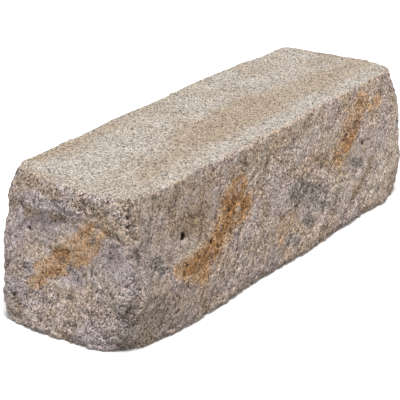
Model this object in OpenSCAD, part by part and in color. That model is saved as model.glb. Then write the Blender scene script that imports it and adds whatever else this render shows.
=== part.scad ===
// Tumbled concrete walling block: two flat bed faces, four split sides, worn arrises.
// The origin is the middle of the lower bed face. X runs along the block, Y from front to back, Z up.

/* [Block] */
// Length between the split ends, at mid height
block_length = 400; // [240:5:600]
// Depth from the front face to the back face, at mid height
block_depth = 125; // [90:1:240]
// Height between the two bed faces
block_height = 120; // [80:1:200]

/* [Worn edges] */
// Radius of the worn arris round each bed face
arris_radius = 5; // [4:0.5:12]
// Radius of the worn upright corners, seen from above
corner_radius = 11; // [8:1:40]
// How much rounder the foot of the front left corner is, as a share of the straight beside it
foot_rounding = 0.45; // [0:0.05:0.7]
// How low that extra rounding stays: 1 runs it up the whole corner, more keeps it near the foot
foot_taper = 4; // [1:0.5:6]
// How much the wear of the arris varies along its run
arris_waver = 2; // [0:0.5:4]
// Depth planed off the top of the worn arris by each bed face
bed_trim = 0.8; // [0.4:0.1:2]

/* [Split faces] */
// Height of the humps and hollows on the long faces
face_relief = 2.5; // [0:0.5:6]
// Height of the humps and hollows on the ends
end_relief = 5; // [0:0.5:8]
// Distance from one broad hump to the next
hump_spacing = 58; // [30:1:120]
// Distance from one small hump to the next
small_hump_spacing = 25; // [16:1:60]
// Height of the small humps as a share of the broad ones
small_hump_share = 0.55; // [0:0.05:0.8]
// Swell of a split side between the bed faces
side_belly = 2.5; // [0:0.5:6]
// How far the foot of the left end stands out past its top
left_end_lean = 4; // [0:1:20]
// How far the foot of the right end stands out past its top
right_end_lean = 12; // [0:1:20]
// How far the foot of the front face stands out past its top
front_lean = 4; // [0:1:12]
// Number that picks the pattern of humps
split_seed = 7; // [1:1:99]

/* [Flakes and scars] */
// Spread of a flake of ordinary size, lost from an arris
flake_spread = 40; // [20:1:60]
// Depth of a flake of ordinary size
flake_depth = 6; // [0:0.5:9]
// Half width of a scar of ordinary size, left on a split face
scar_width = 20; // [12:1:30]
// Depth of a scar of ordinary size
scar_depth = 2; // [0:0.25:4]
// Width of the sloping rim round a scar
scar_rim = 12; // [8:1:20]

/* [Surface points] */
// Spacing of the points along the split faces
point_spacing = 8; // [7:0.5:16]
// Facets round a quarter of a worn edge
edge_facets = 5; // [3:1:6]

/* [Hidden] */

// A flake lost from an arris: the corner its place is measured from (end, face, bed), how far in
// from that corner as shares of length, depth and height, and its spread and depth as multiples
// of the ordinary flake's.
function flake(corner, inset, spread, depth) = [corner, inset, spread * flake_spread, depth * flake_depth];

FLAKES = [
    // Left end: the broken back corner at the top, the dip under it, the two feet, the near top corner
    flake([-1, 1, 1], inset = [0, 0.08, 0], spread = 0.75, depth = 1.3),
    flake([-1, 1, 1], inset = [0, 0.03, 0.25], spread = 0.5, depth = 0.7),
    flake([-1, -1, -1], inset = [0.055, 0, 0], spread = 1.25, depth = 1),
    flake([-1, 1, -1], inset = [0, 0.03, 0], spread = 0.75, depth = 0.5),
    flake([-1, -1, 1], inset = [0, 0, 0], spread = 0.95, depth = 1),
    // Right end: the front foot, the worn top corner, the top arris and its back corner
    flake([1, -1, -1], inset = [0.015, 0, 0], spread = 0.9, depth = 1.2),
    flake([1, -1, 1], inset = [0, 0.065, 0], spread = 0.8, depth = 1.3),
    flake([1, 1, 1], inset = [0, 0.5, 0], spread = 1.9, depth = 0.8),
    flake([1, 1, 1], inset = [0, 0, 0], spread = 1, depth = 1),
    // Long arrises: one on the front, two on the back
    flake([-1, -1, 1], inset = [0.325, 0, 0], spread = 0.75, depth = 0.35),
    flake([1, 1, 1], inset = [0.1, 0, 0.05], spread = 1, depth = 0.8),
    flake([1, 1, -1], inset = [0.275, 0, 0.08], spread = 1.4, depth = 1),
];

// A scar left on a split face: the corner its place is measured from, how far in from that corner
// it starts and how far it runs on, as shares of length, depth and height, and its half width and
// depth as multiples of the ordinary scar's. A scar of negative depth stands out as a lip.
function scar(corner, inset, run, width, depth) =
    [corner, inset, run, width * scar_width, depth * scar_depth];

SCARS = [
    // Left end: the broken panel, the groove under the top edge and the lip above the groove
    scar([-1, 1, 1], inset = [0, 0.19, 0.43], run = [0, 0.21, -0.15], width = 0.95, depth = 1),
    scar([-1, 1, 1], inset = [0, 0.03, 0.25], run = [0, 0.48, -0.05], width = 0.5, depth = 1.5),
    scar([-1, 1, 1], inset = [0, 0.08, 0.135], run = [0, 0.5, -0.01], width = 0.45, depth = -1),
    // Front face: the large panel by the left end, the middle and the right dish
    scar([-1, -1, 1], inset = [0.115, 0, 0.18], run = [0.06, 0, 0], width = 2.1, depth = 1),
    scar([1, -1, -1], inset = [0.435, 0, 0.38], run = [-0.055, 0, -0.08], width = 1.15, depth = 0.75),
    scar([1, -1, 1], inset = [0.22, 0, 0.45], run = [-0.025, 0, 0.05], width = 0.95, depth = 0.75),
    // Back face: two dishes
    scar([-1, 1, 1], inset = [0.425, 0, 0.42], run = [0.1, 0, -0.05], width = 1.3, depth = 1),
    scar([1, 1, -1], inset = [0.225, 0, 0.37], run = [-0.05, 0, -0.03], width = 1.2, depth = 0.75),
    // Right end: a dish and the groove above it
    scar([1, 1, 1], inset = [0, 0.385, 0.5], run = [0, 0.11, -0.13], width = 1.2, depth = 1),
    scar([1, -1, 1], inset = [0, 0.18, 0.3], run = [0, 0.48, -0.07], width = 0.5, depth = 1.25),
];

core_x = block_length / 2 - corner_radius;
core_y = block_depth / 2 - corner_radius;

// Random value from -1 to 1 at a corner of the hump lattice: each step along X, Y and Z moves the seed
lattice_seeds = [71, 313, 1097];
function lattice_value(c) = rands(-1, 1, 1, split_seed + c * lattice_seeds)[0];
function ease(t) = t * t * (3 - 2 * t);
function blend(a, b, t) = a + (b - a) * t;

// Smooth random field over space, one hump for each step of the lattice
function humps(p) =
    let (c = [for (v = p) floor(v)])
    let (t = [for (n = [0:2]) ease(p[n] - c[n])])
    let (along_x = function (j, k) blend(lattice_value(c + [0, j, k]), lattice_value(c + [1, j, k]), t.x))
    let (along_y = function (k) blend(along_x(0, k), along_x(1, k), t.y))
    blend(along_y(0), along_y(1), t.z);

// Broad humps with smaller ones on them
function split_field(p) = humps(p / hump_spacing) + small_hump_share * humps(p / small_hump_spacing);

// The point that lies a given share in from a corner of the block
function inset_point(corner, inset) = [
    corner.x * block_length * (1 / 2 - inset.x),
    corner.y * block_depth * (1 / 2 - inset.y),
    block_height * (corner.z > 0 ? 1 - inset.z : inset.z)
];

// Depth lost to one flake at a point, and to all of them together
function depth_in_flake(f, p) =
    let (away = norm(p - inset_point(f[0], f[1])) / f[2])
    f[3] * pow(1 - min(1, away * away), 2);
function flake_loss(p) = norm([for (f = FLAKES) depth_in_flake(f, p)]);

// Depth lost to one scar at a point, and to all of them together
function depth_in_scar(s, p) =
    let (start = inset_point(s[0], s[1]), run = inset_point(s[0], s[1] + s[2]) - start)
    let (along = max(0, min(1, (p - start) * run / (run * run))))
    let (away = norm(p - start - along * run))
    s[4] * ease(max(0, min(1, (s[3] - away) / scar_rim)));
function scar_loss(p) = [for (s = SCARS) depth_in_scar(s, p)] * [for (s = SCARS) 1];

// Stations round the block: [place on the core outline, from -1 to 1 each way, outward direction],
// from the middle of the left end along the front, then back again.
end_steps = ceil(core_y / point_spacing);
face_steps = ceil(2 * core_x / point_spacing);
function corner_turn(place, start) =
    [for (i = [0:edge_facets]) let (a = start + 90 * i / edge_facets) [place, [cos(a), sin(a)]]];
front_stations = concat(
    [for (i = [0:end_steps - 1]) [[-1, -i / end_steps], [-1, 0]]],
    corner_turn([-1, -1], start = 180),
    [for (i = [1:face_steps - 1]) [[2 * i / face_steps - 1, -1], [0, -1]]],
    corner_turn([1, -1], start = 270),
    [for (i = [end_steps - 1:-1:0]) [[1, -i / end_steps], [1, 0]]]
);
half = len(front_stations) - 1;
function mirrored(s) = [[s[0].x, -s[0].y], [s[1].x, -s[1].y]];
stations = concat(front_stations, [for (i = [half - 1:-1:1]) mirrored(front_stations[i])]);
count = len(stations);

// Levels from below the lower bed to above the upper one: [height, inset of the worn arris there]
mid_steps = ceil((block_height - 2 * arris_radius) / point_spacing);
low_arris = [for (i = [0:edge_facets]) let (a = 90 * i / edge_facets)
    [arris_radius * (1 - cos(a)) - bed_trim, arris_radius * (1 - sin(a))]];
top_arris = [for (i = [edge_facets:-1:0]) [block_height - low_arris[i][0], low_arris[i][1]]];
levels = concat(
    low_arris,
    [for (i = [1:mid_steps - 1]) [blend(low_arris[edge_facets][0], top_arris[0][0], i / mid_steps), 0]],
    top_arris
);

// Below half a corner radius the reach eases towards the core and never crosses it
function eased_reach(reach) =
    let (knee = corner_radius / 2)
    reach > knee ? reach : knee * exp(reach / knee - 1);

// Radius of the outline near a place: widest at the foot of the front left corner
function outline_radius(place, up) =
    let (near_foot = (1 - place.x) / 2 * (1 - place.y) / 2 * pow(1 - up, foot_taper))
    corner_radius + foot_rounding * core_y * near_foot;

// A point of the skin: pushed out from the core by the relief, drawn in by wear and flakes
function skin_point(station, level) =
    let (place = station[0], out = station[1], z = level[0])
    let (up = max(0, min(1, z / block_height)))
    let (radius = outline_radius(place, up))
    let (core = [place.x * (block_length / 2 - radius), place.y * (block_depth / 2 - radius)])
    let (p = [core.x + radius * out.x, core.y + radius * out.y, z])
    let (relief = blend(face_relief, end_relief, out.x * out.x) * split_field(p))
    let (belly = side_belly * (1 - pow(2 * up - 1, 2)))
    let (wear = level[1] * (1 + arris_waver / arris_radius * humps(p / small_hump_spacing)))
    let (reach = eased_reach(radius + relief + belly - scar_loss(p) - norm([wear, flake_loss(p)])))
    let (end_lean = (place.x < 0 ? left_end_lean : right_end_lean) * (1 / 2 - up))
    let (face_lean = (place.y < 0 ? front_lean : 0) * (1 / 2 - up))
    [core.x + place.x * end_lean + reach * out.x, core.y + place.y * face_lean + reach * out.y, z];

// Two triangles across a cap, from one step of the front run to the same step of the back run
function cap_strip(s) =
    let (back = (count - s) % count, back_next = count - s - 1)
    s == 0 ? [[0, 1, back_next]]
    : s == half - 1 ? [[s, s + 1, back]]
    : [[s, s + 1, back_next], [s, back_next, back]];

module walling_block() {
    points = [for (level = levels) for (station = stations) skin_point(station, level)];
    rings = len(levels);
    sides = [for (r = [0:rings - 2]) for (s = [0:count - 1])
        let (a = r * count + s, b = r * count + (s + 1) % count)
        each [[a, b + count, b], [a, a + count, b + count]]];
    lower_cap = [for (s = [0:half - 1]) each cap_strip(s)];
    top = (rings - 1) * count;
    upper_cap = [for (f = lower_cap) [top + f[0], top + f[2], top + f[1]]];
    color("#A89B8D")
    intersection() {
        polyhedron(points, concat(sides, lower_cap, upper_cap), convexity = 6);
        between_beds();
    }
}

// The slab between the two bed planes, wider than the block
module between_beds() {
    translate([-block_length, -block_depth, 0])
        cube([2 * block_length, 2 * block_depth, block_height]);
}

walling_block();
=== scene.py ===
# %% [markdown]
# # A tumbled concrete walling block
#
# The block is one piece of pale, sandy concrete. It was cast with two flat bed faces, split on
# its four sides, and then tumbled in a drum until its arrises wore round. This lesson loads the
# measured solid and gives it the three things that a solid lacks: the broken relief of the split
# faces, the chips along the arrises, and the colour of the stone.

# %% The measured solid
import math

import bpy
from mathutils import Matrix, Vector


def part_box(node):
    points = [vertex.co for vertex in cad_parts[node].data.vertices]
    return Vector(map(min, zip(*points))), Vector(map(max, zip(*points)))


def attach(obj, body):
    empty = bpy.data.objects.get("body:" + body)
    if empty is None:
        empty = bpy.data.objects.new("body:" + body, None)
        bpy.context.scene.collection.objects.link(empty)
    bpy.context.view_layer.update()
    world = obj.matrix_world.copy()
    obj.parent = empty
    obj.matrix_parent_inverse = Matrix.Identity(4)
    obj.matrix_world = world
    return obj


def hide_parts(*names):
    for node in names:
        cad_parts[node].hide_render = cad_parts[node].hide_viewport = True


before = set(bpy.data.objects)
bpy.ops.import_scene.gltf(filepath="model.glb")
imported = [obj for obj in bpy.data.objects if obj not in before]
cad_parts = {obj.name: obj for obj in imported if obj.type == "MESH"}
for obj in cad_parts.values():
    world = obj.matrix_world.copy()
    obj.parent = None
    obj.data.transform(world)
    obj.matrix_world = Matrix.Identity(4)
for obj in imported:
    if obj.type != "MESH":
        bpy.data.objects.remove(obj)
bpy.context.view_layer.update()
BLOCK = "walling_block"
MM = 0.001
block_low, block_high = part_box(BLOCK)
bed_height = block_high.z
print("solid, mm:", [round(side / MM, 1) for side in block_high - block_low])

# %% [markdown]
# ## A bench for node trees
#
# The relief is a Geometry Nodes tree and the finish is a shader tree, but both need the same few
# nodes: noise, cells, sums and fades. A small class that adds a node or a few for each call, and
# hands back what comes out, keeps both trees short enough to read from top to bottom.

# %% The bench
class Bench:
    """A node tree in the making. Each call adds a node or a few to it."""

    def __init__(self, tree):
        self.tree = tree

    def add(self, kind, inputs=None, **settings):
        made = self.tree.nodes.new(kind)
        for name, value in settings.items():
            setattr(made, name, value)
        for key, value in (inputs or {}).items():
            self.feed(made.inputs[key], value)
        return made

    def feed(self, socket, value):
        if isinstance(value, bpy.types.NodeSocket):
            self.tree.links.new(value, socket)
        else:
            socket.default_value = value

    def math(self, operation, *values, clamp=False):
        made = self.add("ShaderNodeMath", dict(enumerate(values)), operation=operation)
        made.use_clamp = clamp
        return made.outputs[0]

    def vector(self, operation, *values):
        made = self.add("ShaderNodeVectorMath", dict(enumerate(values)), operation=operation)
        return made.outputs["Value" if operation in ("DOT_PRODUCT", "DISTANCE", "LENGTH") else 0]

    def scaled(self, vector, factor):
        made = self.add("ShaderNodeVectorMath", {0: vector, "Scale": factor}, operation="SCALE")
        return made.outputs[0]

    def fade(self, value, start, end, low=0.0, high=1.0):
        """A soft step from low to high, while the value goes from start to end."""
        made = self.add("ShaderNodeMapRange", {0: value, 1: start, 2: end, 3: low, 4: high})
        made.interpolation_type = "SMOOTHSTEP"
        return made.outputs[0]

    def noise(self, place, width, detail=2.0, roughness=0.5):
        return self.add("ShaderNodeTexNoise", {
            "Vector": place, "Scale": 1 / width, "Detail": detail, "Roughness": roughness})

    def wave(self, place, width, detail=2.0, roughness=0.5):
        """A noise that swings about nought."""
        return self.math("SUBTRACT", self.noise(place, width, detail, roughness).outputs[0], 0.5)

    def pushed(self, place, width, reach, detail=2.0, roughness=0.5):
        """The place, pushed about by a noise."""
        colour = self.noise(place, width, detail, roughness).outputs["Color"]
        sway = self.vector("SUBTRACT", colour, (0.5, 0.5, 0.5))
        return self.vector("ADD", place, self.scaled(sway, reach))

    def along_line(self, point, start, end):
        """How far along a line a point lies, from 0 to 1, and how far away from it."""
        start, end = Vector(start) * MM, Vector(end) * MM
        run = end - start
        from_start = self.vector("SUBTRACT", point, tuple(start))
        along = self.vector("DOT_PRODUCT", from_start, tuple(run / run.length_squared))
        along = self.math("ADD", along, 0.0, clamp=True)
        nearest = self.vector("ADD", self.scaled(tuple(run), along), tuple(start))
        return along, self.vector("DISTANCE", point, nearest)

    def drawn_out(self, place, direction, share):
        """The place with its run along one direction shortened, so that a pattern on it is drawn out."""
        run = self.math("MULTIPLY", self.vector("DOT_PRODUCT", place, direction), share)
        return self.vector("SUBTRACT", place, self.scaled(direction, run))

    def cells(self, place, width):
        return self.add("ShaderNodeTexVoronoi", {"Vector": place, "Scale": 1 / width})

    def parts(self, vector):
        return self.add("ShaderNodeSeparateXYZ", {0: vector}).outputs

    def blend(self, share, low, high):
        """One number at a share of 0, and another at a share of 1."""
        made = self.add("ShaderNodeMix", {0: share, 2: low, 3: high}, data_type="FLOAT")
        return made.outputs[0]

    def tint(self, share, under, over, blend_type="MIX"):
        """One colour laid over another."""
        made = self.add("ShaderNodeMix", {0: share, 6: under, 7: over},
                        data_type="RGBA", blend_type=blend_type)
        return made.outputs[2]

    def total(self, *values):
        whole = values[0]
        for value in values[1:]:
            whole = self.math("ADD", whole, value)
        return whole

    def product(self, *values):
        whole = values[0]
        for value in values[1:]:
            whole = self.math("MULTIPLY", whole, value)
        return whole

    def strongest(self, *values):
        whole = values[0]
        for value in values[1:]:
            whole = self.math("MAXIMUM", whole, value)
        return whole


print("bench ready:", Bench.__doc__)

# %% [markdown]
# ## An even skin for the relief
#
# The solid is made of long flat triangles, which have no points to move. A voxel remesh lays an
# even net over a copy of it, and a few rounds of smoothing take away the edges of the facets.
# Subdividing would only cut the long triangles into smaller long triangles. The net is as fine as
# the triangle budget of one piece allows, a little over a millimetre.

# %% A copy with an even net
NET = 1.2 * MM
SAME_POINT = 0.01 * MM
SMOOTHING, SMOOTHING_ROUNDS = 0.5, 10


def copy_of_solid(name):
    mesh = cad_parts[BLOCK].data.copy()
    mesh.materials.clear()
    piece = bpy.data.objects.new(name, mesh)
    bpy.context.scene.collection.objects.link(piece)
    weld = piece.modifiers.new("Merge doubles", "WELD")
    weld.merge_threshold = SAME_POINT
    net = piece.modifiers.new("Even net", "REMESH")
    net.mode, net.voxel_size, net.use_smooth_shade = "VOXEL", NET, True
    smooth = piece.modifiers.new("Facets off", "SMOOTH")
    smooth.factor, smooth.iterations = SMOOTHING, SMOOTHING_ROUNDS
    return piece


block = copy_of_solid("tumbled_block")
print("copied", BLOCK, "with", len(block.data.polygons), "triangles")

# %% [markdown]
# ## Which way the skin faces
#
# A split face, an end and a bed face each break differently. The normal says which is which: it
# points up or down on a bed face, along X on an end, and somewhere between on a worn arris. The
# tree turns that into soft masks, each a fade between two slants of the normal. Painting them by
# hand would do as well, but painted masks would not follow the solid when its sizes change.

# %% The relief tree and its inputs
relief_tree = bpy.data.node_groups.new("Split relief", "GeometryNodeTree")
relief = Bench(relief_tree)
RELIEF_SIZES = {
    "Face relief": 1.7 * MM, "End relief": 2.3 * MM, "Lump width": 10 * MM, "Crumb width": 4.0 * MM,
    "Grit width": 2.0 * MM, "Pit depth": 2.6 * MM, "Face chips": 1.8 * MM, "End chips": 1.9 * MM,
    "Bed waves": 0.5 * MM, "Bed grain": 0.4 * MM, "Bed height": bed_height, "Seed": 4.0,
}


def open_relief_tree():
    face = relief_tree.interface
    face.new_socket("Geometry", in_out="INPUT", socket_type="NodeSocketGeometry")
    for name in RELIEF_SIZES:
        face.new_socket(name, in_out="INPUT", socket_type="NodeSocketFloat")
    face.new_socket("Stone", in_out="INPUT", socket_type="NodeSocketMaterial")
    face.new_socket("Geometry", in_out="OUTPUT", socket_type="NodeSocketGeometry")
    return relief.add("NodeGroupInput").outputs


given = open_relief_tree()
print("relief inputs:", len(RELIEF_SIZES))

# %% Masks from the normal
SEED_STEP = (0.37, 0.11, 0.73)
BED_SLANT, END_SLANT = (0.80, 0.97), (0.35, 0.85)
ARRIS_START, ARRIS_STOP = (0.22, 0.50), (0.97, 0.85)
UNDER_START, UNDER_STOP, UNDER_OFF_END = (0.06, 0.25), (0.80, 0.55), (0.5, 0.2)
skin_place = relief.add("GeometryNodeInputPosition").outputs[0]
skin_normal = relief.add("GeometryNodeInputNormal").outputs[0]
place = relief.vector("ADD", skin_place, relief.scaled(SEED_STEP, given["Seed"]))

normal_parts = relief.parts(skin_normal)
upright = relief.math("ABSOLUTE", normal_parts["Z"])
endwise = relief.math("ABSOLUTE", normal_parts["X"])
on_bed = relief.fade(upright, *BED_SLANT)
on_end = relief.fade(endwise, *END_SLANT)
on_arris = relief.product(relief.fade(upright, *ARRIS_START), relief.fade(upright, *ARRIS_STOP))
# The strip under the arris is stored for painted shade in the finish.
under_arris = relief.product(
    relief.fade(upright, *UNDER_START), relief.fade(upright, *UNDER_STOP),
    relief.fade(endwise, *UNDER_OFF_END))
print("masks: bed, end, arris and the strip under the arris")

# %% [markdown]
# ## Split relief
#
# Concrete splits round its gravel, not through it, so a split face is a heap of rounded lumps
# with creases between them. Smooth Voronoi cells give just that. A warp bends them out of round,
# and they are drawn out along one direction, the way the split ran. A steep fade of a broad noise
# makes the low ledges where one flake broke off above the next. The broad humps come with the
# solid, so they are not made again here.

# %% Lumps, crumbs, grit and ledges
WARP, WARP_WIDTH = 5 * MM, 14 * MM
STROKE = tuple(Vector((0.4, -0.4, 0.8)).normalized())
LUMP_DRAW, LUMP_SOFTNESS, LUMP_MIDDLE = 0.5, 0.35, 0.53
LUMP_SHARE, CRUMB_SHARE, GRIT_SHARE, LEDGE_SHARE = 0.8, 0.8, 1.4, 0.4
LEDGE_WIDTH, LEDGE_STEP = 48 * MM, (-0.01, 0.02)
warped = relief.drawn_out(relief.pushed(place, WARP_WIDTH, WARP), STROKE, LUMP_DRAW)


def lumps(width_socket):
    per_metre = relief.math("DIVIDE", 1.0, width_socket)
    made = relief.add("ShaderNodeTexVoronoi", {
        "Vector": warped, "Scale": per_metre, "Smoothness": LUMP_SOFTNESS}, feature="SMOOTH_F1")
    return relief.math("SUBTRACT", LUMP_MIDDLE, made.outputs["Distance"])


big_lumps = lumps(given["Lump width"])
crumbs = lumps(given["Crumb width"])
grit_scale = relief.math("DIVIDE", 1.0, given["Grit width"])
grit_noise = relief.add("ShaderNodeTexNoise", {"Vector": place, "Scale": grit_scale, "Detail": 2.0})
grit = relief.math("SUBTRACT", grit_noise.outputs[0], 0.5)
ledges = relief.fade(relief.wave(warped, LEDGE_WIDTH, 3.0), *LEDGE_STEP, -0.5, 0.5)
broken_height = relief.total(
    relief.product(big_lumps, LUMP_SHARE), relief.product(crumbs, CRUMB_SHARE),
    relief.product(grit, GRIT_SHARE))
split_height = relief.total(broken_height, relief.product(ledges, LEDGE_SHARE))
split_depth = relief.blend(on_end, given["Face relief"], given["End relief"])
print("lumps drawn out along:", [round(part, 2) for part in STROKE])

# %% [markdown]
# ## Scars with a sharp rim
#
# The solid already has the large scars where a flake came away, but its points are too far apart
# for a sharp rim. Each scar is a line with a width. The tree takes away the solid's blunt rim and
# puts a sharp one in its place, measured on a place that a noise has pushed about, so that no rim
# runs true. Inside a scar the lumps are lower, because a flake leaves a calmer face. Narrow grooves
# are cut in the same way, with nothing to take away. One with a negative depth is a fill or a lip.

# %% Scars and grooves
SCARS = [
    # start, mm             end, mm            half width, depth, mm
    ((-154, -66, 98), (-131, -66, 98), 36, 2.0),
    ((-200, 38, 68), (-200, 12, 86), 13, 2.0),
    ((-201, 20, 52), (-200, -24, 84), 19, 0.4),
    ((-199, -45, 85), (-199, -49, 74), 10, 0.4),
    ((-188, -65, 102), (-184, -66, 42), 5, 0.6),
    ((112, -66, 66), (122, -66, 60), 13, 1.5),
    ((26, -67, 46), (48, -66, 36), 17, 1.5),
    ((-30, 66, 70), (10, 66, 76), 20, 2.0),
    ((110, 66, 44), (130, 66, 40), 18, 1.5),
    ((206, 14, 60), (206, 0, 76), 18, 2.0),
]
GROOVES = [
    # start, mm             end, mm            width, depth, mm
    ((-198, 52, 99), (-199, -10, 102), 7, -1.8),
    ((-198, 52, 91), (-199, 2, 95), 9, -2.4),
    ((-196, 58, 119), (-188, 62, 119), 16, 3.0),
    ((-198, 48, 91), (-199, 40, 91), 3, 1.8),
    ((-199, 32, 92), (-199, 24, 93), 3, 1.8),
    ((-199, 13, 93), (-199, 2, 95), 3, 2.2),
    ((-199, -6, 96), (-199, -36, 95), 2.5, 1.4),
    ((-199, -40, 93), (-195, -60, 91), 3.5, 2.0),
    ((-197, -56, 88), (-197, -57, 30), 4, 1.5),
    ((-197, -38, 7), (-190, -56, 8), 5, 1.4),
    ((206, -40, 84), (204, 20, 92), 4, 1.4),
]
ROAM, ROAM_WIDTH = 13 * MM, 16 * MM
SHARP_RIM, BLUNT_RIM = 1.5, 6.0
CALM = 0.6
roamed = relief.pushed(skin_place, ROAM_WIDTH, ROAM, detail=4.0, roughness=0.6)


def inside(point, start, end, half_width, rim):
    away = relief.along_line(point, start, end)[1]
    return relief.fade(away, (half_width + rim) * MM, (half_width - rim) * MM)


def sharpened(start, end, half_width, depth):
    sharp = inside(roamed, start, end, half_width, SHARP_RIM)
    blunt = inside(skin_place, start, end, half_width, BLUNT_RIM)
    return relief.product(relief.math("SUBTRACT", sharp, blunt), depth * MM)


def groove(start, end, width, depth):
    return relief.product(inside(roamed, start, end, width / 2, width / 2), depth * MM)


in_scar = relief.strongest(*[inside(roamed, *scar[:3], SHARP_RIM) for scar in SCARS])
breaks = relief.total(*[sharpened(*scar) for scar in SCARS], *[groove(*line) for line in GROOVES])
calm = relief.fade(in_scar, 0.0, 1.0, 1.0, CALM)
split_move = relief.product(split_height, split_depth, calm)
print("scars:", len(SCARS), "grooves:", len(GROOVES))

# %% [markdown]
# ## Pits and blow holes
#
# Air bubbles and lost pebbles leave dark round pits. Most are scattered, so a second set of cells
# picks one cell in a few and sinks its middle. The few large ones that stand out on the block are
# placed one by one, each a centre and a radius.

# %% Scattered pits
PIT_SPACING, PIT_SHARE = 15 * MM, 0.2
PIT_RADII, PIT_EDGE = (0.07, 0.15), (1.0, 0.2)
pit_cells = relief.cells(place, PIT_SPACING)
pit_lot = relief.parts(pit_cells.outputs["Color"])
pit_chosen = relief.math("LESS_THAN", pit_lot["X"], PIT_SHARE)
pit_radius = relief.blend(pit_lot["Y"], *PIT_RADII)
pit_shape = relief.fade(relief.math("DIVIDE", pit_cells.outputs["Distance"], pit_radius), *PIT_EDGE)
pits = relief.product(pit_chosen, pit_shape)
print("pits: one cell in", round(1 / PIT_SHARE))

# %% The large blow holes
BLOW_HOLES = [
    # centre, mm             radius, mm
    ((-140, -65, 76), 5.2),
    ((-107, -66, 61.5), 3.4),
    ((125, -65, 70), 3.2),
    ((-178, -66, 42), 2.2),
    ((-72, -66, 41), 2.8),
    ((-137, -62, 116), 2.0),
    ((-198, 36, 78.5), 2.6),
    ((-198, 15, 68), 2.4),
    ((-198, 28, 102), 1.8),
    ((-196, -54, 107), 2.6),
    ((-197, -56, 101), 2.3),
    ((-198, -49, 92), 2.5),
    ((-198, -57, 57), 2.2),
    ((-199, -54, 51), 1.8),
    ((-199, -56, 40), 2.0),
    ((-76, 27, 120), 2.0),
    ((-62, 36, 120), 1.4),
    ((-188, 23, 120), 1.4),
    ((-26, -38, 120), 1.4),
    ((25, -38, 120), 1.4),
    ((46, -57, 120), 1.6),
]
INTO_FACE, HOLE_FLOOR, FULL_DEPTH_RADIUS = 0.2, 0.35, 3.0
TEAR, TEAR_WIDTH = 4.5 * MM, 4 * MM
PITS_OFF_BED = (0.6, 0.1)
ragged = relief.pushed(skin_place, TEAR_WIDTH, TEAR)


def across_face(centre):
    """Weights of X, Y and Z that measure across the face a point lies on, and little into it."""
    share = [abs(part) * MM / high for part, high in zip(centre, block_high)]
    into = share.index(max(share))
    return tuple(INTO_FACE if axis == into else 1.0 for axis in range(3))


def blow_hole(centre, radius):
    from_centre = relief.vector("SUBTRACT", ragged, tuple(part * MM for part in centre))
    away = relief.vector("LENGTH", relief.vector("MULTIPLY", from_centre, across_face(centre)))
    depth = min(1.0, radius / FULL_DEPTH_RADIUS)
    return relief.fade(away, radius * MM, HOLE_FLOOR * radius * MM, 0.0, depth)


holes = relief.strongest(*[blow_hole(*hole) for hole in BLOW_HOLES])
split_pits = relief.strongest(relief.product(pits, relief.fade(on_bed, *PITS_OFF_BED)), holes)
print("blow holes:", len(BLOW_HOLES))

# %% [markdown]
# ## Bed faces, chipped arrises and the foot
#
# The bed faces came out of the mould flat, so they only wave a little and carry a fine grain. The
# arris between a bed face and a split face lost chips in the drum. Chips are cells as well, sunk
# only where the arris mask is strong and only along parts of its run. The foot lost small bites,
# so the line along the floor is ragged.

# %% Waves, grain and chips
BED_WAVE_WIDTH, BED_GRAIN_STEP = 70 * MM, 3 * MM
CHIP_WIDTH, CHIP_RIM = 7 * MM, 0.85
CHIP_RUN_WIDTH, CHIP_RUN, CHIPS_TO_END = 24 * MM, (0.42, 0.62), (0.15, 0.5)
bed_waves = relief.product(relief.wave(place, BED_WAVE_WIDTH), given["Bed waves"])
bed_grain = relief.product(relief.wave(place, BED_GRAIN_STEP, 3.0, 0.65), given["Bed grain"])
bed_move = relief.total(bed_waves, bed_grain)

chip_run = relief.fade(relief.noise(place, CHIP_RUN_WIDTH).outputs[0], *CHIP_RUN)
chip_shape = relief.math("SUBTRACT", relief.cells(warped, CHIP_WIDTH).outputs["Distance"], CHIP_RIM)
chip_depth = relief.blend(relief.fade(endwise, *CHIPS_TO_END), given["Face chips"], given["End chips"])
chip_move = relief.product(on_arris, chip_run, chip_shape, chip_depth)
print("chips about", round(CHIP_WIDTH / MM), "mm wide")

# %% Bites along the foot, and the whole move
FOOT_BITE, FOOT_BITE_WIDTH = 2.2 * MM, 8 * MM
FOOT_BAND, BITE_EDGE, BITES_OFF_BED = (10 * MM, 4 * MM), (-0.02, 0.1), (0.9, 0.3)
foot_band = relief.fade(relief.parts(skin_place)["Z"], *FOOT_BAND)
bite_shape = relief.fade(relief.wave(place, FOOT_BITE_WIDTH, 3.0, 0.6), *BITE_EDGE)
foot_bites = relief.product(foot_band, relief.fade(on_bed, *BITES_OFF_BED), bite_shape, -FOOT_BITE)
whole_move = relief.total(
    relief.blend(on_bed, split_move, bed_move), chip_move, foot_bites,
    relief.product(split_pits, given["Pit depth"], -1.0), relief.product(breaks, -1.0))
print("bites up to", round(FOOT_BITE / MM, 1), "mm deep")

# %% [markdown]
# ## Moving the skin
#
# Each point moves along its normal. The lower bed face must still stand flat on the floor, so the
# height is held between the two bed planes after the move. The tree ends by storing the masks,
# realising instances and setting the stone's material.

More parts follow.
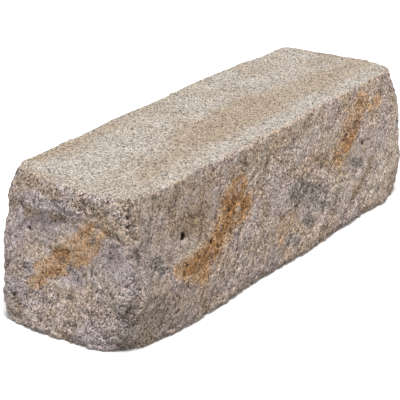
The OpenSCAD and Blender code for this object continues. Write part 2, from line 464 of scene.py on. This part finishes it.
# %% The end of the tree
def close_relief_tree():
    moved = relief.vector("ADD", skin_place, relief.scaled(skin_normal, whole_move))
    x, y, z = relief.parts(moved)
    held = relief.math("MAXIMUM", relief.math("MINIMUM", z, given["Bed height"]), 0.0)
    target = relief.add("ShaderNodeCombineXYZ", {0: x, 1: y, 2: held}).outputs[0]
    geometry = given["Geometry"]
    masks = {"bed": on_bed, "end": on_end, "under": under_arris, "height": broken_height,
             "pit": split_pits, "fresh": in_scar}
    for name, value in masks.items():
        stored = relief.add("GeometryNodeStoreNamedAttribute", {
            "Geometry": geometry, "Name": name, "Value": value}, data_type="FLOAT", domain="POINT")
        geometry = stored.outputs[0]
    last_steps = [
        ("GeometryNodeSetPosition", {"Position": target}),
        ("GeometryNodeSetShadeSmooth", {}),
        ("GeometryNodeRealizeInstances", {}),
        ("GeometryNodeSetMaterial", {"Material": given["Stone"]}),
    ]
    for kind, inputs in last_steps:
        geometry = relief.add(kind, {"Geometry": geometry, **inputs}).outputs[0]
    relief.add("NodeGroupOutput", {"Geometry": geometry})


close_relief_tree()
print("relief tree:", len(relief_tree.nodes), "nodes")

# %% [markdown]
# ## The stone's colours
#
# The concrete is pale sand and lilac grey, mixed before it was cast, with ochre pigment that ran
# through it in streaks. The finish starts with the two grounds: the washed sand of the bed faces
# and the mottled grey of a fresh split. Colours are written as they look on screen, and a helper
# turns them into the linear values that Blender works in.

# %% Screen colours and the masks of the skin
def linear(red, green, blue):
    def one(level):
        level /= 255
        return level / 12.92 if level <= 0.04045 else ((level + 0.055) / 1.055) ** 2.4
    return (one(red), one(green), one(blue), 1.0)


stone = bpy.data.materials.new("mottled_concrete")
stone.use_nodes = True
stone.node_tree.nodes.clear()
finish = Bench(stone.node_tree)
spot = finish.add("ShaderNodeTexCoord").outputs["Object"]


def skin_mask(name):
    return finish.add("ShaderNodeAttribute", attribute_name=name).outputs["Fac"]


bed, end, under = skin_mask("bed"), skin_mask("end"), skin_mask("under")
height, pit, fresh = skin_mask("height"), skin_mask("pit"), skin_mask("fresh")
print("masks read from the skin: 6")

# %% The two grounds
BED_SAND, BED_PALE, BED_BROWN = linear(203, 188, 172), linear(214, 204, 193), linear(195, 174, 149)
SPLIT_LILAC, SPLIT_SAND, SPLIT_PALE = linear(215, 198, 195), linear(216, 193, 171), linear(229, 213, 203)
SPLIT_CLOUD, BED_CLOUD, SMALL_CLOUD_SHARE = 28 * MM, 60 * MM, 0.3
BROAD_EDGE, SMALL_EDGE = (-0.12, 0.12), (0.0, 0.2)


def ground(first_tone, second_tone, third_tone, width):
    broad = finish.fade(finish.wave(spot, width, 5.0, 0.65), *BROAD_EDGE)
    small = finish.fade(finish.wave(spot, SMALL_CLOUD_SHARE * width, 5.0, 0.7), *SMALL_EDGE)
    return finish.tint(small, finish.tint(broad, first_tone, second_tone), third_tone)


split_ground = ground(SPLIT_LILAC, SPLIT_SAND, SPLIT_PALE, SPLIT_CLOUD)
bed_ground = ground(BED_PALE, BED_SAND, BED_SAND, BED_CLOUD)
print("grounds mixed: split and bed")

# %% [markdown]
# ## Streaks of ochre, olive and grey
#
# The coloured streaks are what one knows this block by, so each is placed where it runs: two ends,
# the half width at each end, and a strength. The shader measures how far a point lies from that
# line, after a noise has pushed the point about. A second, finer noise then dissolves the edge into
# islands, so that a streak fades grain by grain and not like paint.

# %% Where the streaks run
# Some rows in the olive, grey, lilac and pale lists are painted shade or painted highlight, not pigment;
# each is marked above its row.
OCHRE = [
    # start, mm             end, mm              half widths, mm, strength
    ((-201, 31, 36), (-201, 24, 42), 6, 7, 0.8),
    ((-201, 22, 50), (-201, 4, 58), 7, 12, 1.0),
    ((-201, 4, 60), (-201, -14, 74), 11, 13, 1.0),
    ((-201, -12, 74), (-200, -22, 93), 11, 6, 1.0),
    ((-201, -26, 76), (-200, -38, 95), 6, 4, 0.75),
    ((-150, -66, 53), (-122, -67, 50), 9, 17, 0.9),
    ((-122, -67, 50), (-104, -67, 55), 17, 14, 0.95),
    ((-106, -67, 55), (-86, -66, 70), 15, 19, 0.95),
    ((-84, -66, 72), (-62, -66, 74), 17, 13, 1.0),
    ((-80, -66, 84), (-68, -65, 94), 17, 11, 0.95),
    ((-126, -67, 46), (-116, -67, 36), 15, 11, 0.85),
    ((84, -65, 70), (102, -65, 86), 12, 14, 1.0),
    ((102, -65, 86), (125, -63, 105), 14, 12, 1.0),
    ((138, -64, 96), (150, -63, 102), 6, 8, 0.75),
    ((-8, -67, 42), (-10, -67, 24), 9, 8, 0.55),
    ((6, -67, 42), (2, -67, 34), 6, 5, 0.5),
    ((150, 66, 30), (100, 66, 62), 9, 16, 0.9),
    ((-20, 66, 58), (-60, 66, 92), 14, 9, 0.9),
    ((-150, 66, 88), (-170, 64, 70), 11, 6, 0.6),
    ((206, 20, 32), (203, -14, 78), 8, 13, 0.9),
]
RUST = [
    ((-201, 8, 64), (-201, -2, 70), 5, 5, 0.8),
    ((-201, 20, 48), (-201, 6, 52), 4, 5, 0.6),
    ((-200, -20, 90), (-200, -22, 94), 4, 4, 0.6),
    ((-138, -66, 51), (-108, -67, 54), 7, 10, 0.9),
    ((-98, -66, 62), (-82, -66, 76), 8, 9, 0.8),
    ((-68, -66, 75), (-58, -66, 77), 7, 6, 1.0),
    ((-84, -66, 84), (-70, -66, 94), 10, 9, 1.0),
    ((92, -65, 75), (114, -65, 92), 8, 8, 0.95),
    ((118, -63, 104), (124, -63, 106), 5, 5, 0.6),
    ((142, -63, 99), (147, -63, 101), 4, 4, 0.6),
    ((-112, -64, 104), (-106, -64, 106), 5, 6, 0.35),
    ((162, -64, 12), (172, -64, 14), 5, 5, 0.4),
]
OLIVE_AND_SHADE = [
    ((40, -66, 81), (62, -66, 73), 7, 7, 0.9),
    ((64, -66, 70), (92, -66, 66), 6, 6, 0.6),
    ((14, -66, 76), (20, -66, 74), 6, 5, 0.5),
    ((140, -66, 47), (110, -66, 27), 7, 5, 0.8),
    ((-36, -66, 44), (-30, -66, 38), 7, 6, 0.5),
    ((-152, -65, 99), (-170, -65, 88), 9, 9, 0.5),
    ((-150, -65, 92), (-118, -65, 86), 16, 18, 0.8),
    # Painted shade: these two rows darken the band under the front arris.
    ((-170, -64, 109), (-40, -64, 108), 9, 10, 0.6),
    ((-40, -64, 108), (120, -64, 110), 9, 7, 0.5),
    ((-165, -66, 24), (-100, -66, 20), 15, 14, 0.4),
    ((-199, 36, 90), (-199, 24, 95), 5, 5, 0.9),
    ((-199, 12, 93), (-199, 4, 95), 4, 4, 0.9),
    ((-197, 46, 114), (-197, 30, 116), 9, 8, 0.8),
    ((-197, 18, 114), (-197, 6, 113), 6, 6, 0.9),
    ((-199, -34, 104), (-196, -57, 94), 9, 10, 0.9),
    # Painted shade: this row darkens the end beside the near upright corner.
    ((-194, -58, 114), (-196, -57, 90), 8, 8, 0.7),
    ((-197, 0, 111), (-196, -54, 109), 8, 10, 0.4),
    ((-201, -13, 56), (-201, -17, 55), 6, 5, 0.6),
    ((-201, 46, 20), (-201, 40, 14), 7, 6, 0.5),
    ((20, 66, 84), (40, 66, 96), 8, 6, 0.7),
]
GREY_AND_SHADE = [
    ((-178, -66, 70), (-170, -66, 61), 7, 6, 1.0),
    ((12, -67, 60), (54, -66, 42), 15, 14, 0.6),
    ((14, -67, 56), (28, -67, 54), 9, 7, 0.9),
    ((42, -67, 47), (58, -66, 36), 9, 8, 0.9),
    ((32, -67, 30), (40, -67, 26), 7, 5, 0.8),
    ((6, -67, 22), (18, -66, 16), 7, 6, 0.7),
    ((106, -66, 58), (122, -66, 52), 5, 6, 1.0),
    ((-201, -5, 55), (-201, -9, 52), 6, 6, 1.0),
    # Painted shade: these two rows darken the end beside the near upright corner.
    ((-196, -58, 112), (-197, -57, 88), 4, 5, 0.3),
    ((-197, -56, 62), (-197, -57, 34), 4, 4, 0.3),
    ((-201, 36, 51), (-201, 32, 49), 4, 4, 0.7),
    ((-110, 66, 40), (-80, 66, 30), 9, 7, 0.8),
    ((60, 66, 50), (76, 66, 40), 8, 8, 0.7),
    ((206, -20, 40), (206, -30, 50), 7, 7, 0.8),
]
LILAC_AND_SHADE = [
    # Painted shade: this row darkens the end beside the near upright corner.
    ((-199, -44, 82), (-199, -52, 62), 14, 12, 0.8),
    ((-199, 20, 88), (-199, 16, 80), 8, 7, 0.7),
    ((-198, 44, 102), (-199, -14, 103), 6, 6, 0.8),
    ((-188, -65, 106), (-184, -66, 38), 8, 8, 0.6),
    ((62, -67, 42), (66, -67, 38), 6, 6, 0.8),
    ((-71, -66, 44), (-66, -66, 37), 6, 6, 0.9),
    ((-112, -66, 88), (-96, -66, 96), 10, 8, 0.6),
    ((8, -66, 62), (36, -66, 62), 7, 9, 0.6),
]
PALE_AND_HIGHLIGHT = [
    ((140, -66, 30), (185, -64, 40), 24, 26, 0.8),
    ((60, -66, 40), (100, -66, 36), 12, 14, 0.6),
    ((-42, -66, 106), (-34, -66, 104), 6, 6, 0.8),
    ((0, -66, 100), (60, -66, 104), 12, 12, 0.6),
    ((-199, -24, 58), (-199, -54, 44), 8, 14, 0.5),
    ((-198, 46, 101), (-199, -12, 103), 5, 5, 0.7),
    # Painted highlight: this row lightens the front beside the near upright corner, and the next row the
    # upward-facing rim of the large scar on the front.
    ((-188, -64, 98), (-185, -65, 36), 4, 5, 0.75),
    ((-158, -66, 59), (-126, -66, 68), 3.5, 3, 1.0),
    ((150, 66, 90), (60, 66, 80), 18, 14, 0.5),
]
BED_BANDS = [
    ((-70, -18, 120), (40, -16, 120), 20, 26, 1.0),
    ((40, -17, 120), (185, -28, 120), 24, 18, 0.65),
    ((-150, -34, 120), (-60, -22, 120), 12, 14, 0.6),
    ((-186, 54, 120), (-192, 16, 120), 10, 6, 0.6),
    ((-165, 50, 120), (-70, 50, 120), 8, 8, 0.7),
    ((150, 12, 120), (180, 0, 120), 12, 14, 0.5),
]
BED_PALES_AND_HIGHLIGHT = [
    ((-172, 6, 120), (-90, 16, 120), 22, 20, 0.7),
    # Painted highlight: these two rows lighten the strip along the front arris of the top.
    ((-115, -52, 120), (60, -49, 120), 8, 9, 1.0),
    ((60, -52, 120), (165, -54, 120), 7, 6, 0.9),
]
print("streaks:", len(OCHRE), "ochre,", len(RUST), "rust,", len(OLIVE_AND_SHADE), "olive,", len(GREY_AND_SHADE), "grey")

# %% Streaks that dissolve at the edge
FRAY, FRAY_WIDTH = 11 * MM, 18 * MM
DISSOLVE, DISSOLVE_WIDTH = 1.1, 7 * MM
STREAK_EDGE, STREAK_REACH, STREAK_CUT = (1.5, 0.2), (0.0, 0.15), (0.1, 0.85)
frayed_spot = finish.pushed(spot, FRAY_WIDTH, FRAY, detail=4.0, roughness=0.6)
dissolve = finish.product(finish.wave(spot, DISSOLVE_WIDTH, 6.0, 0.75), DISSOLVE)


def streak(start, end, start_width, end_width, strength):
    along, away = finish.along_line(frayed_spot, start, end)
    width = finish.blend(along, start_width * MM, end_width * MM)
    return finish.fade(finish.math("DIVIDE", away, width), *STREAK_EDGE, 0.0, strength)


def streaks(lines):
    whole = finish.strongest(*[streak(*line) for line in lines])
    eaten = finish.math("ADD", whole, finish.product(dissolve, finish.fade(whole, *STREAK_REACH)))
    return finish.fade(eaten, *STREAK_CUT)


ochre_mask, rust_mask, olive_and_shade_mask = streaks(OCHRE), streaks(RUST), streaks(OLIVE_AND_SHADE)
grey_and_shade_mask, lilac_and_shade_mask, pale_and_highlight_mask = streaks(GREY_AND_SHADE), streaks(LILAC_AND_SHADE), streaks(PALE_AND_HIGHLIGHT)
band_mask, bed_pale_and_highlight_mask = streaks(BED_BANDS), streaks(BED_PALES_AND_HIGHLIGHT)
print("streak masks: 6 for the split faces, 2 for the beds")

# %% [markdown]
# ## Tones over the grounds
#
# Each mask lays its tone over the ground at a share that lets some of the ground through. Ochre
# thins out in the foot of the large scar on the front, where the flake took it away. The strip
# under the arris and the upright corners get painted shade. Last, a slow drift makes the long faces
# lighter from the near end to the far end, and the ends lighter towards the top and darker towards
# the back: the long faces are a little warmer, the ends a little cooler.

# %% Streaks over the grounds
OCHRE_TONE, OCHRE_PALE, RUST_TONE = linear(224, 176, 127), linear(226, 190, 150), linear(192, 140, 90)
OLIVE_TONE, GREY_TONE, LILAC_TONE = linear(188, 163, 132), linear(200, 192, 187), linear(190, 175, 171)
LIGHT_TONE, UNDER_ARRIS_SHADE, CORNER_SHADE_TONE = linear(232, 219, 206), linear(172, 156, 142), linear(150, 136, 127)
LIGHT_SHARE, LILAC_SHARE, RUST_SHARE, OLIVE_SHARE, GREY_SHARE = 0.5, 0.7, 0.75, 0.7, 0.8
BAND_SHARE, PALE_SHARE, UNDER_ARRIS_SHADE_SHARE = 0.75, 0.7, 0.6
OCHRE_CLOUD, OCHRE_CLOUD_EDGE = 9 * MM, (-0.1, 0.12)
OCHRE_SHARE, OCHRE_IN_SCAR = 0.9, 0.15
SCAR_FOOT, SCAR_OFF_END, SCAR_EDGE = (76 * MM, 66 * MM), (0.6, 0.2), (0.2, 0.9)
spot_parts = finish.parts(spot)


def laid(mask, share, under_colour, tone):
    return finish.tint(finish.product(mask, share), under_colour, tone)


ochre_cloud = finish.fade(finish.wave(spot, OCHRE_CLOUD, 5.0, 0.7), *OCHRE_CLOUD_EDGE)
ochre_tone = finish.tint(ochre_cloud, OCHRE_TONE, OCHRE_PALE)
scar_foot = finish.product(
    fresh, finish.fade(end, *SCAR_OFF_END), finish.fade(spot_parts["Z"], *SCAR_FOOT))
ochre_share = finish.fade(scar_foot, *SCAR_EDGE, OCHRE_SHARE, OCHRE_IN_SCAR)

split_colour = laid(pale_and_highlight_mask, LIGHT_SHARE, split_ground, LIGHT_TONE)
split_colour = laid(lilac_and_shade_mask, LILAC_SHARE, split_colour, LILAC_TONE)
split_colour = laid(ochre_mask, ochre_share, split_colour, ochre_tone)
split_colour = laid(rust_mask, RUST_SHARE, split_colour, RUST_TONE)
split_colour = laid(olive_and_shade_mask, OLIVE_SHARE, split_colour, OLIVE_TONE)
split_colour = laid(grey_and_shade_mask, GREY_SHARE, split_colour, GREY_TONE)
# Painted shade along the strip under the arris.
split_colour = laid(under, UNDER_ARRIS_SHADE_SHARE, split_colour, UNDER_ARRIS_SHADE)
bed_colour = laid(band_mask, BAND_SHARE, bed_ground, BED_BROWN)
bed_colour = laid(bed_pale_and_highlight_mask, PALE_SHARE, bed_colour, BED_PALE)
print("tones laid: 7 on the split faces, 2 on the beds")

# %% Drift and painted shade on the corners
FACE_WARMTH, END_COOLNESS = (1.025, 1.0, 0.965, 1.0), (0.98, 0.99, 1.04, 1.0)
FACE_RUN, FACE_DRIFT = (-200 * MM, 200 * MM), (0.97, 1.09)
END_RISE, END_RISE_DRIFT = (10 * MM, 80 * MM), (0.93, 1.04)
END_SIDE, END_SIDE_DRIFT = (20 * MM, 60 * MM), (1.01, 0.9)
CORNER_SHADE_SHARE, CORNER_PEAK, OFF_BED = 0.55, 4.0, (0.0, 0.7)
on_split = finish.fade(bed, *OFF_BED, 1.0, 0.0)


def greys(value):
    return finish.add("ShaderNodeCombineXYZ", {0: value, 1: value, 2: value}).outputs[0]


# The long faces grow lighter from the near end to the far end, the ends lighter towards the top and darker
# towards the back.
face_drift = finish.fade(spot_parts["X"], *FACE_RUN, *FACE_DRIFT)
face_tone = finish.tint(1.0, greys(face_drift), FACE_WARMTH, "MULTIPLY")
end_drift = finish.product(
    finish.fade(spot_parts["Z"], *END_RISE, *END_RISE_DRIFT),
    finish.fade(spot_parts["Y"], *END_SIDE, *END_SIDE_DRIFT))
end_tone = finish.tint(1.0, greys(end_drift), END_COOLNESS, "MULTIPLY")
split_colour = finish.tint(1.0, split_colour, finish.tint(end, face_tone, end_tone), "MULTIPLY")
# Painted shade: the upright corners, where an end meets a long face, are darkened.
corner = finish.product(end, finish.math("SUBTRACT", 1.0, end), CORNER_PEAK)
split_colour = finish.tint(finish.product(corner, on_split, CORNER_SHADE_SHARE), split_colour, CORNER_SHADE_TONE)
colour = finish.tint(bed, split_colour, bed_colour)
print("drift along the long faces:", FACE_DRIFT)

# %% [markdown]
# ## Grains, specks and shade
#
# Up close the stone is sand: grains of about a millimetre, each a little lighter or darker, warmer
# or cooler than its neighbour, with black specks and white crumbs among them. Cells with a random
# value each give the grains, and the peaks of a noise give the specks their torn outlines.
# Hollows and pits get painted shade, and the lumps that stand proud get a painted highlight.

# %% Grains over the colours
GRAIN_WIDTH, BED_GRAIN_WIDTH = 1.0 * MM, 0.75 * MM
CRUMB_GRAIN_WIDTH, GRAIN_DRAW = 1.5 * MM, 0.45
SPLIT_LIFT, SPLIT_CRUMBS, BED_LIFT, BED_CRUMBS = 1.0, 2.4, 1.3, 0.3
GRAIN_MIDDLE, GRAIN_WARMTH = 1.04, 0.03
COARSE_IN_SCAR, COARSE_FACE, COARSE_END = 0.7, 1.1, 1.15
COARSE_CLOUD, COARSE_EDGE, COARSE_SWING = 50 * MM, (-0.15, 0.15), (0.85, 1.25)
coarse = finish.product(
    finish.fade(fresh, 0.0, 1.0, 1.0, COARSE_IN_SCAR),
    finish.fade(finish.wave(spot, COARSE_CLOUD), *COARSE_EDGE, *COARSE_SWING),
    finish.blend(end, COARSE_FACE, COARSE_END))


def lot_of(cells, part):
    """The random value of each cell, from half below nought to half above."""
    return finish.math("SUBTRACT", finish.parts(cells.outputs["Color"])[part], 0.5)


grain_cells = finish.cells(spot, GRAIN_WIDTH)
bed_cells = finish.cells(spot, BED_GRAIN_WIDTH)
crumb_wave = finish.wave(finish.drawn_out(spot, STROKE, GRAIN_DRAW), CRUMB_GRAIN_WIDTH, 3.0, 0.7)
split_waves = finish.total(
    finish.product(lot_of(grain_cells, "X"), SPLIT_LIFT), finish.product(crumb_wave, SPLIT_CRUMBS))
split_grain = finish.math("ADD", finish.product(split_waves, coarse), GRAIN_MIDDLE)
bed_grain_tone = finish.total(
    finish.product(lot_of(bed_cells, "X"), BED_LIFT), finish.product(crumb_wave, BED_CRUMBS), GRAIN_MIDDLE)
grain = finish.blend(bed, split_grain, bed_grain_tone)
warmth = finish.product(lot_of(grain_cells, "Y"), GRAIN_WARMTH)
grain_colour = finish.add("ShaderNodeCombineXYZ", {
    0: finish.product(grain, finish.math("ADD", 1.0, warmth)), 1: grain,
    2: finish.product(grain, finish.math("SUBTRACT", 1.0, warmth))}).outputs[0]
colour = finish.tint(1.0, colour, grain_colour, "MULTIPLY")
print("grains, mm:", GRAIN_WIDTH / MM, "on the split faces,", BED_GRAIN_WIDTH / MM, "on the beds")

# %% Specks, glints and dark grains
SPECK, GLINT = linear(78, 68, 60), linear(240, 235, 229)
SPECK_WIDTH, SPECK_EDGE, SPECK_SHARE = 1.7 * MM, (0.12, 0.16), 0.85
MORE_IN_GREY, MORE_IN_RUST, MORE_IN_OLIVE, MORE_ON_BED = 0.08, 0.05, 0.04, 0.01
GLINT_WIDTH, GLINT_EDGE, GLINT_SHARE, GLINT_STEP = 2.4 * MM, (0.15, 0.24), 0.6, (0.5, 0.3, 0.1)
DARK_SHARE, DARK_ON_BED, DARK_IN_GREY, DARK_STRENGTH = 0.06, 0.01, 0.28, 0.65
speck_wave = finish.total(
    finish.wave(spot, SPECK_WIDTH, 2.0, 0.6), finish.product(grey_and_shade_mask, MORE_IN_GREY),
    finish.product(rust_mask, MORE_IN_RUST), finish.product(olive_and_shade_mask, MORE_IN_OLIVE),
    finish.product(bed, MORE_ON_BED))
specks = finish.fade(speck_wave, *SPECK_EDGE)
glint_wave = finish.wave(finish.vector("ADD", spot, GLINT_STEP), GLINT_WIDTH, 2.0, 0.6)
dark_share = finish.total(
    DARK_SHARE, finish.product(bed, DARK_ON_BED), finish.product(grey_and_shade_mask, DARK_IN_GREY))
grain_lot = finish.parts(grain_cells.outputs["Color"])
dark_grains = finish.math("LESS_THAN", grain_lot["Z"], dark_share)
colour = laid(finish.fade(glint_wave, *GLINT_EDGE), GLINT_SHARE, colour, GLINT)
colour = laid(specks, SPECK_SHARE, colour, SPECK)
colour = laid(dark_grains, DARK_STRENGTH, colour, SPECK)
print("specks, mm:", SPECK_WIDTH / MM, "and glints, mm:", GLINT_WIDTH / MM)

# %% Painted highlight on proud lumps, painted shade in hollows and pits
PROUD_HIGHLIGHT, PIT_SHADE = linear(220, 212, 205), linear(40, 32, 27)
PROUD_EDGE, PROUD_SHARE = (0.15, 0.55), 0.45
HOLLOW_EDGE, HOLLOW_SHADE, PIT_SHADE_EDGE = (0.0, -0.55), 0.45, (0.35, 0.9)
# Painted highlight: the lumps that stand proud are lightened.
proud = finish.product(finish.fade(height, *PROUD_EDGE), on_split)
colour = finish.tint(finish.product(proud, coarse, PROUD_SHARE), colour, PROUD_HIGHLIGHT)
# Painted shade: the hollows of the relief are darkened in the colour.
shade = greys(finish.fade(height, *HOLLOW_EDGE, 1.0, HOLLOW_SHADE))
colour = finish.tint(on_split, colour, finish.tint(1.0, colour, shade, "MULTIPLY"))
# Painted shade: the pits are darkened almost to black.
colour = finish.tint(finish.fade(pit, *PIT_SHADE_EDGE), colour, PIT_SHADE)
print("hollows down to", HOLLOW_SHADE, "of the tone")

# %% [markdown]
# ## Bump and surface
#
# Grains smaller than the net are bump, not geometry. Dry concrete is nearly matt, so roughness is
# high and the same all over, and it is set straight on the shader's own socket.

# %% The shader
BUMP_WIDTH, BUMP_HEIGHT = 1.6 * MM, 1.0 * MM
BUMP_WAVE, BUMP_GRAIN, BUMP_SPECK = 1.2, -0.35, -0.7
bump_height = finish.total(
    finish.product(finish.wave(spot, BUMP_WIDTH, 2.0, 0.6), BUMP_WAVE),
    finish.product(grain_cells.outputs["Distance"], BUMP_GRAIN), finish.product(specks, BUMP_SPECK))
bump = finish.add("ShaderNodeBump", {"Height": bump_height, "Strength": 1.0, "Distance": BUMP_HEIGHT})
surface = finish.add("ShaderNodeBsdfPrincipled", {
    "Base Color": colour, "Roughness": 0.92, "Specular IOR Level": 0.22, "Normal": bump.outputs[0]})
finish.add("ShaderNodeOutputMaterial", {"Surface": surface.outputs[0]})
print("finish:", len(stone.node_tree.nodes), "nodes")

# %% [markdown]
# ## From modifiers to a plain mesh
#
# The tree's inputs are set by identifier before the first evaluation. Then the evaluated object
# is copied into one plain mesh, and the modifiers go, so the block that rides on the frame is
# nothing but points and faces.

# %% Evaluate once
TRIANGLES = 190000
carve = block.modifiers.new("Split relief", "NODES")
carve.node_group = relief_tree
for item in relief_tree.interface.items_tree:
    if item.in_out == "INPUT" and item.name in RELIEF_SIZES:
        carve[item.identifier] = RELIEF_SIZES[item.name]
    elif item.name == "Stone":
        carve[item.identifier] = stone


def plain_mesh(piece):
    evaluated = piece.evaluated_get(bpy.context.evaluated_depsgraph_get())
    mesh = bpy.data.meshes.new_from_object(evaluated)
    piece.modifiers.clear()
    piece.data = mesh
    return sum(len(face.vertices) - 2 for face in mesh.polygons)


carved = plain_mesh(block)
thin = block.modifiers.new("Thin the flat places", "DECIMATE")
thin.ratio = min(1.0, TRIANGLES / carved)
thinned = plain_mesh(block)
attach(block, "root")
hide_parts(BLOCK)
print("block:", carved, "triangles carved,", thinned, "kept")

# %% [markdown]
# ## Floor and room
#
# The block stands on a plain pale floor in soft light from above, with a white room round it. The
# room looks white to the camera but lights the block only softly, so the stone keeps the colours
# it was given. Near the block the floor still takes its shadow. Farther off it glows, so that floor
# and room meet without a line.

# %% Floor
FLOOR_HALF = 6.0
floor_mesh = bpy.data.meshes.new("floor")
floor_mesh.from_pydata([(-FLOOR_HALF, -FLOOR_HALF, 0), (FLOOR_HALF, -FLOOR_HALF, 0),
                        (FLOOR_HALF, FLOOR_HALF, 0), (-FLOOR_HALF, FLOOR_HALF, 0)], [], [(0, 1, 2, 3)])
floor = bpy.data.objects.new("floor", floor_mesh)
bpy.context.scene.collection.objects.link(floor)
print("floor, m:", 2 * FLOOR_HALF)

# %% Light that only the camera sees
def seen_directly(bench):
    rays = bench.add("ShaderNodeLightPath").outputs
    return bench.strongest(rays["Is Camera Ray"], rays["Is Glossy Ray"], rays["Is Transmission Ray"])


WHITE, FLOOR_BOUNCE = (1.0, 1.0, 1.0, 1.0), linear(184, 184, 184)
GLOW_NEAR, GLOW_START, GLOW_END = 0.12, 0.08, 0.40
GLOW_LINE = ((-140, 0, 0), (140, 0, 0))

pale_floor = bpy.data.materials.new("pale_floor")
pale_floor.use_nodes = True
pale_floor.node_tree.nodes.clear()
ground_bench = Bench(pale_floor.node_tree)
seen = seen_directly(ground_bench)
floor_spot = ground_bench.add("ShaderNodeTexCoord").outputs["Object"]
from_middle = ground_bench.along_line(floor_spot, *GLOW_LINE)[1]
glow = ground_bench.fade(from_middle, GLOW_START, GLOW_END, GLOW_NEAR, 1.0)
matt = ground_bench.add("ShaderNodeBsdfDiffuse", {"Color": ground_bench.tint(seen, FLOOR_BOUNCE, WHITE)})
lit = ground_bench.add("ShaderNodeEmission", {"Color": WHITE, "Strength": ground_bench.product(seen, glow)})
both = ground_bench.add("ShaderNodeAddShader", {0: matt.outputs[0], 1: lit.outputs[0]})
ground_bench.add("ShaderNodeOutputMaterial", {"Surface": both.outputs[0]})
floor_mesh.materials.append(pale_floor)
print("floor glows from", GLOW_START, "to", GLOW_END, "m away from the block's middle line")

# %% Room
ROOM_LIGHT = 0.30
room = bpy.data.worlds.new("white_room")
bpy.context.scene.world = room
room.use_nodes = True
room.node_tree.nodes.clear()
room_bench = Bench(room.node_tree)
room_strength = room_bench.blend(seen_directly(room_bench), ROOM_LIGHT, 1.0)
sky = room_bench.add("ShaderNodeBackground", {"Color": WHITE, "Strength": room_strength})
room_bench.add("ShaderNodeOutputWorld", {"Surface": sky.outputs[0]})
print("room light on the block:", ROOM_LIGHT)

# %% [markdown]
# ## Lamp
#
# One high lamp a little to the left and in front makes the bed face the brightest and shades the
# hollows of the split faces. Its disc is wide, so the shadow on the floor has a soft edge.

# %% Lamp
LAMP_FROM, LAMP_STRENGTH, LAMP_SPREAD = Vector((-0.27, -0.24, 0.93)), 2.4, math.radians(12)
lamp = bpy.data.lights.new("high_lamp", "SUN")
lamp.energy, lamp.angle = LAMP_STRENGTH, LAMP_SPREAD
lamp_holder = bpy.data.objects.new("high_lamp", lamp)
lamp_holder.rotation_euler = (-LAMP_FROM).to_track_quat("-Z", "Y").to_euler()
bpy.context.scene.collection.objects.link(lamp_holder)
print("lamp from", [round(part, 2) for part in LAMP_FROM])

# %% [markdown]
# ## Camera
#
# The camera stands to the left of the front face and looks down on the block through a long lens,
# as in the photograph, so the far end is only a little smaller than the near one.

# %% Camera
CAMERA_PLACE, CAMERA_AIM = Vector((-1.0335, -0.6930, 0.5464)), Vector((-0.0179, 0.0063, 0.0482))
CAMERA_LENS, SENSOR = 146.7, 36.0
camera_data = bpy.data.cameras.new("photo_camera")
camera_data.lens, camera_data.sensor_width = CAMERA_LENS, SENSOR
camera = bpy.data.objects.new("photo_camera", camera_data)
camera.location = CAMERA_PLACE
camera.rotation_euler = (CAMERA_AIM - CAMERA_PLACE).to_track_quat("-Z", "Y").to_euler()
bpy.context.scene.collection.objects.link(camera)
bpy.context.scene.camera = camera
bpy.context.scene.view_settings.view_transform = "Standard"
print("camera, m from its aim:", round((CAMERA_PLACE - CAMERA_AIM).length, 2))

# %% [markdown]
